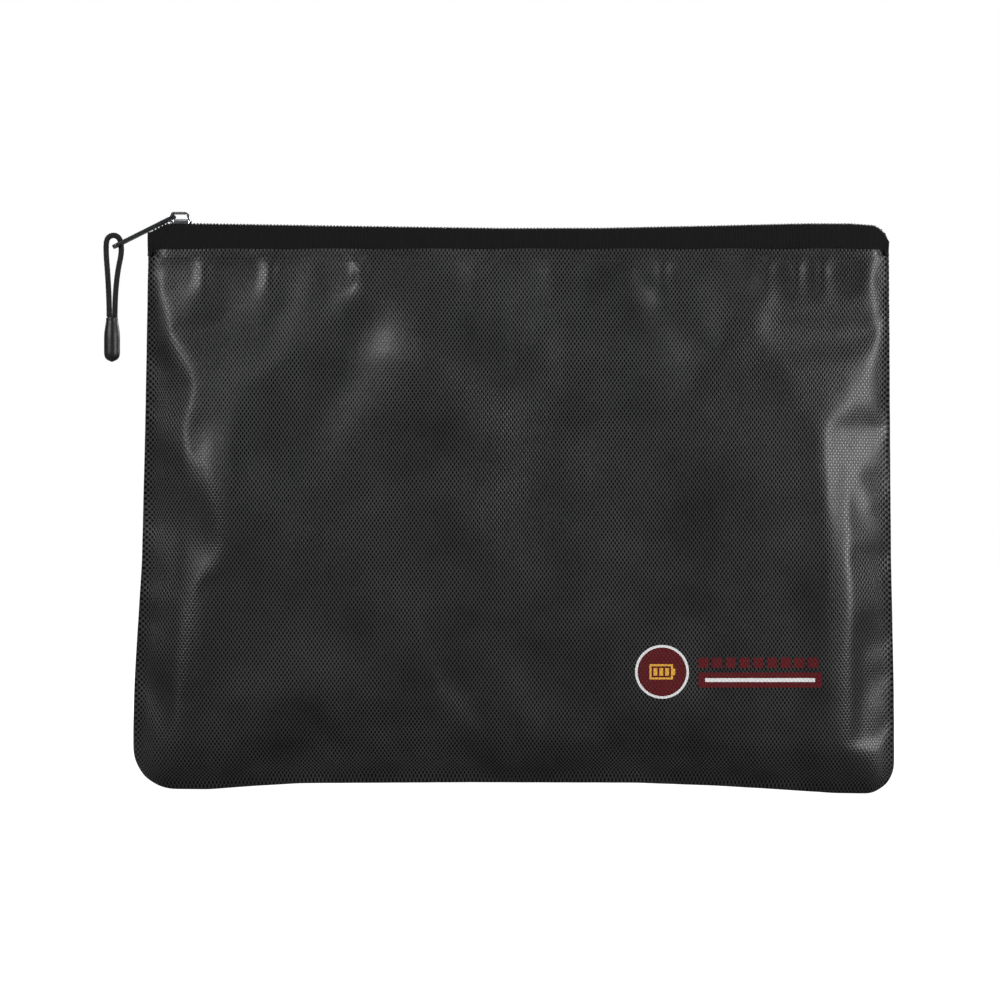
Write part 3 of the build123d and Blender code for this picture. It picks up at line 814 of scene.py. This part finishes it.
def tape_path(word, side, x, under=0.0):
    """The tape's section at an X, from its seam up to the edge of its coil, as depth and height."""
    rim_x, rim_depth = rims[word]
    foot = float(np.interp(x, rim_x, rim_depth)) - PANEL_THICKNESS - 0.0004
    foot = min(foot, HINGE_DEPTH - 0.0001) - under
    end = min(1.0, (x - TAPE_LEFT) / 0.008, (TAPE_RIGHT - x) / 0.008)
    end = 0.55 + 0.45 * max(0.0, end)
    middle = chain_height(x)
    edge = coil_from_middle(x) + COIL_WIDTH / 2 - 0.0003
    fold = max(edge + 0.0007, (HINGE_DEPTH + 0.0001) * end) - under
    middle -= under
    wave = 0.00022 * math.sin(x * 190) + 0.00016 * math.sin(x * 433 + side)
    foot_z = HINGE_HEIGHT - 0.0001
    tall = middle - foot_z
    return [
        (foot, foot_z),
        (foot + 0.4 * (fold - foot) + 0.4 * wave, foot_z + 0.14 * tall),
        (foot + 0.8 * (fold - foot) + wave, foot_z + 0.36 * tall),
        (fold + 1.1 * wave, foot_z + 0.60 * tall),
        (fold + 0.6 * wave, foot_z + 0.82 * tall),
        (fold + 0.1 * wave, foot_z + 0.945 * tall),
        (fold - 0.0003, middle - 0.00005),
        (fold - 0.0011, middle),
        (edge, middle),
    ]


def tape_half(word, side, start, end):
    """Half of a tape's length, as a bmesh grid wrapped along its section."""
    section = len(tape_path(word, side, 0.0)) - 1
    shape, shares = unit_grid(round((end - start) / CHAIN_STEP), section)
    for vertex, (share_along, share_up) in shares.items():
        x = start + share_along * (end - start)
        past_middle = min(1.0, max(0.0, (x - TAPE_SPLIT) / TAPE_LAP + 0.5))
        depth, height = tape_path(word, side, x, TAPE_UNDER * past_middle)[round(share_up * section)]
        vertex.co = (x, side * depth, height)
    for face in shape.faces:
        if side > 0:
            face.normal_flip()
    return shape


def follow_mouth(piece, material, half, node=None):
    """Give a piece its material, bake its place into its mesh, and hide the part it stands for, if one
    is given. Its half is not used.
    """
    piece.data.materials.append(material)
    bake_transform(piece)
    if node:
        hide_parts(node)


# Ribs: the fine upright ribs of a woven zip tape.
rib_group, rib_in, rib_out = new_group(
    "tape_ribs",
    [("Place", "NodeSocketVector", None), ("Pitch", "NodeSocketFloat", 0.0008)],
    [("Height", "NodeSocketFloat")],
)
rib_place = rib_group.nodes.new("ShaderNodeSeparateXYZ")
rib_group.links.new(rib_in.outputs["Place"], rib_place.inputs["Vector"])
rib_turns = sum_node(rib_group, "DIVIDE", rib_place.outputs["X"], rib_in.outputs["Pitch"])
rib_wave = sum_node(rib_group, "SINE", sum_node(rib_group, "MULTIPLY", rib_turns, math.tau))
pick_turns = sum_node(rib_group, "DIVIDE", rib_place.outputs["Z"], rib_in.outputs["Pitch"])
pick_wave = sum_node(rib_group, "SINE", sum_node(rib_group, "MULTIPLY", pick_turns, 2.3 * math.tau))
rib_both = sum_node(rib_group, "MULTIPLY_ADD", pick_wave, 0.35, rib_wave)
rib_group.links.new(rib_both, rib_out.inputs["Height"])

tape_cloth, tape_shader = new_material("zip_tape", (0.006, 0.006, 0.006), 0.80, specular=0.12)
tape_shader.inputs["Sheen Weight"].default_value = 0.02
tape_ribs = add_nodes(tape_cloth, rib_group, object_place(tape_cloth))
tape_fibres = add_nodes(tape_cloth, fibre_group, object_place(tape_cloth), Size=3200.0)
tape_nodes = tape_cloth.node_tree
rib_tone = sum_node(tape_nodes, "MULTIPLY_ADD", tape_ribs.outputs["Height"], 0.30, 0.30)
tape_tone = sum_node(tape_nodes, "MULTIPLY_ADD", tape_fibres.outputs["Streak"], 0.45, rib_tone)
two_tone(tape_cloth, tape_tone, (0.0022, 0.0022, 0.0022), (0.0130, 0.0130, 0.0130))
bump_into(tape_cloth, tape_ribs.outputs["Height"], 0.00010)

HALVES = (
    ("left", TAPE_LEFT, TAPE_SPLIT + TAPE_LAP / 2),
    ("right", TAPE_SPLIT - TAPE_LAP / 2, TAPE_RIGHT),
)
for word, side in SIDES:
    for half, start, end in HALVES:
        tape = piece_from(tape_half(word, side, start, end), f"{word}_tape_{half}")
        smooth_out(tape)
        thicken(tape, TAPE_THICKNESS, 0.0)
        follow_mouth(tape, tape_cloth, half, f"{word}_zip_tape")


# Turned edge: the top of each panel is folded over and stands a little above its seam, over the foot of
# the tape. It is the same coated cloth.
EDGE_THICKNESS = 0.00045
# Its section: the height, and how far it stands out from the panel
EDGE_SECTION = (
    (0.2410, 0.00008), (0.2420, 0.00006), (0.2430, 0.00002),
    (0.2439, -0.00003), (0.2445, -0.00007), (0.2448, -0.00012),
)
EDGE_STEP = 0.004
EDGE_INSET = 0.0006


def turned_edge(word, side, start, end):
    """Half the length of a panel's turned edge, as a bmesh grid with the cloth's own UVs."""
    rim_x, rim_depth = rims[word]
    section = len(EDGE_SECTION) - 1
    shape, shares = unit_grid(round((end - start) / EDGE_STEP), section)
    cut = shape.loops.layers.uv.new("cloth")
    for vertex, (share_along, share_up) in shares.items():
        x = start + share_along * (end - start)
        z, out = EDGE_SECTION[round(share_up * section)]
        wave = 0.00018 * math.sin(x * 140) * max(0.0, (z - RIM) / 0.003)
        vertex.co = (x, side * (float(np.interp(x, rim_x, rim_depth)) + out), z + wave)
    for face in shape.faces:
        for loop in face.loops:
            loop[cut].uv = (loop.vert.co.x, loop.vert.co.z)
        if side > 0:
            face.normal_flip()
    return shape


for word, side in SIDES:
    for half, start, end in (
        ("left", seam_left(RIM) + EDGE_INSET, TAPE_SPLIT),
        ("right", TAPE_SPLIT, seam_right(RIM) - EDGE_INSET),
    ):
        edge = piece_from(turned_edge(word, side, start, end), f"{word}_turned_edge_{half}")
        thicken(edge, EDGE_THICKNESS, -1.0)
        follow_mouth(edge, coated_cloth, half)


# Coils: each is one nylon line wound round a filler cord and sewn to its tape. The turns of the two
# coils stand half a pitch apart, so that they lock into each other.
COIL_PITCH = 0.0015
COIL_STEPS = 8
COIL_SQUARENESS = 0.8
COIL_LINE = 0.00031
COIL_HALF_WIDTH, COIL_HALF_HEIGHT = 0.00126, 0.00078
COIL_REACH = 0.00018
CORE_RADIUS = 0.00045
coil_nylon, coil_shader = new_material("coil_nylon", (0.012, 0.012, 0.013), 0.34)
coil_wear = noise_node(coil_nylon.node_tree, object_place(coil_nylon), 900.0)
two_tone(coil_nylon, coil_wear, (0.008, 0.008, 0.009), (0.030, 0.030, 0.032))
coil_gloss = sum_node(coil_nylon.node_tree, "MULTIPLY_ADD", coil_wear, 0.2, 0.22)
wire(coil_nylon, coil_gloss, coil_shader.inputs["Roughness"])

for word, side in SIDES:
    for half, start, end in HALVES:
        first, last = max(start, tape_low.x), min(end, tape_high.x)
        shift = COIL_PITCH / 2 if side > 0 else 0.0
        first_step, last_step = (round(x / COIL_PITCH * COIL_STEPS) for x in (first, last))
        winding = []
        for step in range(first_step, last_step + 1):
            angle = math.tau * step / COIL_STEPS
            x = shift + COIL_PITCH * step / COIL_STEPS
            middle = coil_from_middle(x) - COIL_REACH
            across, up = (
                half_size * math.copysign(abs(wave) ** COIL_SQUARENESS, wave)
                for half_size, wave in (
                    (COIL_HALF_WIDTH, math.cos(angle)), (COIL_HALF_HEIGHT, math.sin(angle)),
                )
            )
            winding.append((x, side * (middle + across), chain_height(x) + up))
        coil = as_mesh(strands_along([winding], COIL_LINE, 6), f"{word}_coil_{half}")
        follow_mouth(coil, coil_nylon, half, f"{word}_zip_coil")

        count = round((last - first) / CHAIN_STEP) + 1
        strand = [
            (x, side * (coil_from_middle(x) - COIL_REACH), chain_height(x))
            for x in np.linspace(first, last, count)
        ]
        core = as_mesh(strands_along([strand], CORE_RADIUS, 8), f"{word}_filler_cord_{half}")
        follow_mouth(core, cord_yarn, half, f"{word}_coil_core")


# Seam stitches: a lockstitch of polyester thread through each panel and its tape, just below the rim.
STITCH_PITCH = 0.0032
STITCH_LENGTH = 0.0024
STITCH_RADIUS = 0.00020
STITCH_BELOW_RIM = 0.0022
STITCH_PROUD = 0.00008
# One stitch: the share of its length, and how far it stands out of the cloth
STITCH_SHAPE = ((0.0, -0.0005), (0.12, 0.0), (0.5, 0.0001), (0.88, 0.0), (1.0, -0.0005))
seam_thread, _ = new_material("thread", (0.016, 0.016, 0.017), 0.6)
thread_fibres = add_nodes(seam_thread, fibre_group, object_place(seam_thread), Size=6000.0)
two_tone(seam_thread, thread_fibres.outputs["Streak"], (0.010, 0.010, 0.011), (0.032, 0.032, 0.034))
evaluated = bpy.context.evaluated_depsgraph_get()
panel_trees = {word: BVHTree.FromObject(panel, evaluated) for word, panel in panels.items()}


def on_panel(word, side, x, z):
    """The Y of a panel's outer face at a place, seen from outside."""
    return panel_trees[word].ray_cast(Vector((x, side * 0.1, z)), Vector((0, -side, 0)))[0].y


for word, side in SIDES:
    stitches = []
    for number in range(int((seam_high.x - seam_low.x) / STITCH_PITCH)):
        x = seam_low.x + number * STITCH_PITCH
        stitch = []
        for share, out in STITCH_SHAPE:
            at, z = x + share * STITCH_LENGTH, RIM - STITCH_BELOW_RIM
            stitch.append((at, on_panel(word, side, at, z) + side * (STITCH_PROUD + out), z))
        stitches.append(stitch)
    seam = as_mesh(strands_along(stitches, STITCH_RADIUS, 6), f"{word}_rim_stitches")
    fit_piece(seam, seam_thread, "pouch", f"{word}_tape_thread", "thread")


# End tabs: a short strip of tape folded round each end of the zip and caught in the side seam.
TAB_TURNS, TAB_RISE = 10, 5
TAB_THICKNESS = 0.0007
TAB_REACH, TAB_HALF_WIDTH, TAB_NARROWING = 0.0020, 0.0034, 0.35
for word, node, way in (("left", "left_end_tab", -1), ("right", "right_end_tab", 1)):
    tab_low, tab_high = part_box(node)
    outer = tab_low.x if way < 0 else tab_high.x
    tab_shape, shares = unit_grid(TAB_TURNS, TAB_RISE)
    for vertex, (share_round, share) in shares.items():
        turn = (share_round - 0.5) * math.pi
        narrow = 1 - TAB_NARROWING * share**2
        reach = TAB_REACH * narrow
        x = outer - way * (0.0022 - reach * math.cos(turn)) - way * 0.0006 * share
        y = TAB_HALF_WIDTH * narrow * math.sin(turn)
        z = tab_low.z - 0.0006 + share * (tab_high.z - tab_low.z + 0.0022)
        vertex.co = (x, y, z)
    bmesh.ops.recalc_face_normals(tab_shape, faces=tab_shape.faces)
    tab = piece_from(tab_shape, f"{word}_folded_tab")
    smooth_out(tab)
    thicken(tab, TAB_THICKNESS, 0.0)
    fit_piece(tab, tape_cloth, "pouch", node, "zip_tape")


# Bindings: a narrow tape folded over the raw seam edges inside the pouch, all round three sides.
BINDING_TURNS, BINDING_STEP = 6, 0.004
BINDING_INSET = 0.0022
BINDING_END = 0.010
BINDING_THICKNESS = 0.00025
BINDING_WIDTH, BINDING_HALF_GAP = 0.0021, 0.00034
binding_tape, _ = new_material("binding_tape", (0.016, 0.016, 0.017), 0.85, specular=0.3)
binding_ribs = add_nodes(binding_tape, rib_group, object_place(binding_tape), Pitch=0.0006)
binding_height = binding_ribs.outputs["Height"]
binding_tone = sum_node(binding_tape.node_tree, "MULTIPLY_ADD", binding_height, 0.35, 0.5)
two_tone(binding_tape, binding_tone, (0.010, 0.010, 0.011), (0.030, 0.030, 0.032))
bump_into(binding_tape, binding_height, 0.00008)
for word in ("left", "right", "bottom"):
    node = f"{word}_seam_binding"
    low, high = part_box(node)
    long = max(high.x - low.x, high.z - low.z)
    strip, shares = unit_grid(round(long / BINDING_STEP), BINDING_TURNS)
    for vertex, (along, share_round) in shares.items():
        turn = (share_round - 0.5) * math.pi
        wave = 0.00012 * math.sin(along * long * 160)
        fold = BINDING_WIDTH * math.cos(turn) + 0.0003
        y = BINDING_HALF_GAP * math.sin(turn) * (1.2 - 0.2 * math.cos(turn)) + wave
        if word == "bottom":
            x = low.x + BINDING_END + along * (high.x - low.x - 2 * BINDING_END)
            vertex.co = (x, y, seam_bottom(x) + BINDING_INSET + fold)
        else:
            z = low.z + BINDING_END + along * (high.z - low.z - BINDING_END)
            inside = BINDING_INSET + fold
            x = seam_left(z) + inside if word == "left" else seam_right(z) - inside
            vertex.co = (x, y, z)
    binding = piece_from(strip, f"{word}_bound_seam")
    thicken(binding, BINDING_THICKNESS, 0.0)
    fit_piece(binding, binding_tape, "pouch", node, "binding_tape")


# Slider, bow and puller: cast and pressed zinc. The slider and its bow are bright chrome, the puller
# is a darker plate. Their edges are rounded all round, as tumbled castings are.
FLAT_WITHIN, SHARP_FROM = math.radians(1.5), math.radians(32)
ROUND_STEPS = 3


def rounded_copy(node, name, radius):
    """A copy of a hard part's shape with its flats joined up and every sharp edge rounded."""
    shape = bmesh.new()
    shape.from_mesh(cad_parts[node].data)
    bmesh.ops.remove_doubles(shape, verts=shape.verts, dist=0.00001)
    bmesh.ops.dissolve_limit(
        shape, angle_limit=FLAT_WITHIN, verts=shape.verts, edges=shape.edges, delimit={"NORMAL"}
    )
    sharp = [edge for edge in shape.edges if edge.calc_face_angle(0.0) > SHARP_FROM]
    bmesh.ops.bevel(
        shape, geom=sharp, offset=radius, affect="EDGES", segments=ROUND_STEPS, profile=0.5,
        material=-1, clamp_overlap=True,
    )
    return piece_from(shape, name)


def metal(name, dark, light, roughness):
    """A plated metal with fine polishing marks and a little dirt."""
    material, shader = new_material(name, light, roughness, metallic=1.0)
    marks = noise_node(material.node_tree, object_place(material), 1400.0, 5.0)
    two_tone(material, marks, dark, light)
    rubbed = sum_node(material.node_tree, "MULTIPLY_ADD", marks, 0.14, roughness - 0.05)
    wire(material, rubbed, shader.inputs["Roughness"])
    bump_into(material, marks, 0.00001, 0.4)
    return material


slider_chrome = metal("polished_chrome", (0.52, 0.52, 0.54), (0.86, 0.86, 0.88), 0.14)
puller_metal = metal("dark_plated_metal", (0.09, 0.09, 0.09), (0.24, 0.24, 0.25), 0.20)
for node, name, radius, body, material, slot in (
    ("slider_body", "cast_slider", 0.00022, "slider", slider_chrome, "slider_chrome"),
    ("slider_bow", "slider_arch", 0.00034, "slider", slider_chrome, "slider_chrome"),
    ("puller", "flat_puller", 0.00045, "puller", puller_metal, "puller_metal"),
):
    fit_piece(rounded_copy(node, name, radius), material, body, node, slot)


# Printed mark: a screen print on the front, with the weave showing through it. A round badge holds a
# plain battery, and beside it a broken line stands over a bar with a pale stripe.
PRINT_LIFT = 0.00004
PRINT_THICKNESS = 0.00007
PRINT_LAYER = 1.4
PRINT_CELL = 0.001
DISC_STEPS = 72
badge_low, badge_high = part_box("emblem_print")
label_low, label_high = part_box("label_print")
badge = (badge_low + badge_high) / 2
badge_radius = (badge_high.x - badge_low.x) / 2


def printing_ink(name, colour, worn):
    """Ink on the weave: its colour thins on the crowns of the yarn."""
    material, _ = new_material(name, colour, 0.5, specular=0.2)
    weave = add_nodes(material, weave_group, cloth_place(material))
    thin = sum_node(material.node_tree, "MULTIPLY", weave.outputs["Crown"], worn)
    two_tone(material, thin, colour, tuple(0.35 * value for value in colour))
    bump_into(material, weave.outputs["Height"], 0.00009)
    return material


red_ink = printing_ink("red_ink", (0.115, 0.007, 0.010), 0.6)
white_ink = printing_ink("white_ink", (0.80, 0.80, 0.80), 0.2)
gold_ink = printing_ink("gold_ink", (0.80, 0.42, 0.06), 0.35)


def rectangle(low_x, high_x, low_z, high_z):
    """A flat rectangle upright in the XZ plane, cut into small cells."""
    across, up = (max(1, round(side / PRINT_CELL)) for side in (high_x - low_x, high_z - low_z))
    shape, shares = unit_grid(across, up)
    for vertex, (u, v) in shares.items():
        vertex.co = (low_x + u * (high_x - low_x), 0.0, low_z + v * (high_z - low_z))
    return shape


def ring(middle, inner, outer):
    """A flat ring, or a disc when inner is 0, upright in the XZ plane."""
    shape = bmesh.new()
    steps = max(1, round((outer - inner) / PRINT_CELL))
    line = [
        shape.verts.new((middle.x + inner + (outer - inner) * step / steps, 0.0, middle.z))
        for step in range(steps + 1)
    ]
    edges = [shape.edges.new(pair) for pair in zip(line, line[1:])]
    bmesh.ops.spin(
        shape, geom=line + edges, cent=(middle.x, 0, middle.z), axis=(0, 1, 0), angle=math.tau,
        steps=DISC_STEPS, use_merge=True,
    )
    bmesh.ops.remove_doubles(shape, verts=shape.verts, dist=0.000005)
    return shape


def print_on(shapes, name, node, layer):
    """Lay flat shapes on the front panel as one thin print, each in its own ink."""
    whole = bmesh.new()
    cut = whole.loops.layers.uv.new("cloth")
    inks = []
    for shape, ink in shapes:
        patch = bpy.data.meshes.new("patch")
        shape.to_mesh(patch)
        shape.free()
        before_faces = len(whole.faces)
        whole.from_mesh(patch)
        whole.faces.ensure_lookup_table()
        if ink not in inks:
            inks.append(ink)
        for face in whole.faces[before_faces:]:
            face.material_index = inks.index(ink)
    lift = PRINT_LIFT + layer * PRINT_LAYER * PRINT_THICKNESS
    for vertex in whole.verts:
        vertex.co.y = on_panel("front", -1, vertex.co.x, vertex.co.z) - lift
    whole.normal_update()
    for face in whole.faces:
        for loop in face.loops:
            loop[cut].uv = (loop.vert.co.x, loop.vert.co.z)
        if face.normal.y > 0:
            face.normal_flip()
    piece = piece_from(whole, name)
    thicken(piece, PRINT_THICKNESS, 1.0)
    for ink in inks[:-1]:
        piece.data.materials.append(ink)
    fit_piece(piece, inks[-1], "pouch", node, "print_ink")


RING_WIDTH = 0.0011
inner_radius = badge_radius - RING_WIDTH
print_on(
    [(ring(badge, 0.0, inner_radius), red_ink), (ring(badge, inner_radius, badge_radius), white_ink)],
    "badge_print", "emblem_print", 0,
)

# The battery: a frame, the cap on its right end, and three bars in it
BATTERY_LEFT, BATTERY_RIGHT, BATTERY_HALF_HEIGHT = -0.0056, 0.0049, 0.0034
BATTERY_WALL, BATTERY_MARGIN = 0.0009, 0.0017
CAP_LENGTH, CAP_HALF_HEIGHT = 0.0010, 0.0014
FIRST_BAR, BAR_PITCH, BAR_WIDTH, BARS = 0.0018, 0.0026, 0.0017, 3
left, right = badge.x + BATTERY_LEFT, badge.x + BATTERY_RIGHT
foot, top = badge.z - BATTERY_HALF_HEIGHT, badge.z + BATTERY_HALF_HEIGHT
inner_foot, inner_top = foot + BATTERY_WALL, top - BATTERY_WALL
battery = [
    rectangle(left, right, inner_top, top),
    rectangle(left, right, foot, inner_foot),
    rectangle(left, left + BATTERY_WALL, inner_foot, inner_top),
    rectangle(right - BATTERY_WALL, right, inner_foot, inner_top),
    rectangle(right, right + CAP_LENGTH, badge.z - CAP_HALF_HEIGHT, badge.z + CAP_HALF_HEIGHT),
]
bar_foot, bar_top = foot + BATTERY_MARGIN, top - BATTERY_MARGIN
for number in range(BARS):
    bar_left = left + FIRST_BAR + number * BAR_PITCH
    battery.append(rectangle(bar_left, bar_left + BAR_WIDTH, bar_foot, bar_top))
print_on([(shape, gold_ink) for shape in battery], "battery_print", "emblem_print", 1)

# The label: a bar with a pale stripe, under a line of blocks
LABEL_BAR_HEIGHT, STRIPE_END, STRIPE_MARGIN = 0.0067, 0.003, 0.0025
LINE_BLOCKS, BLOCK_GAP = 9, 0.0016
LINE_DEPTH, LINE_MARGIN = 0.0052, 0.0006
bar_top = label_low.z + LABEL_BAR_HEIGHT
bar = rectangle(label_low.x, label_high.x, label_low.z, bar_top)
stripe = rectangle(
    label_low.x + STRIPE_END, label_high.x - STRIPE_END,
    label_low.z + STRIPE_MARGIN, bar_top - STRIPE_MARGIN,
)
print_on([(bar, red_ink)], "bar_print", "label_print", 0)
print_on([(stripe, white_ink)], "stripe_print", "label_print", 1)
line_foot, line_top = label_high.z - LINE_DEPTH, label_high.z - LINE_MARGIN
block_pitch = (label_high.x - label_low.x) / LINE_BLOCKS
blocks = []
for number in range(LINE_BLOCKS):
    block_left = label_low.x + number * block_pitch
    block = rectangle(block_left, block_left + block_pitch - BLOCK_GAP, line_foot, line_top)
    blocks.append((block, red_ink))
print_on(blocks, "line_print", "label_print", 0)
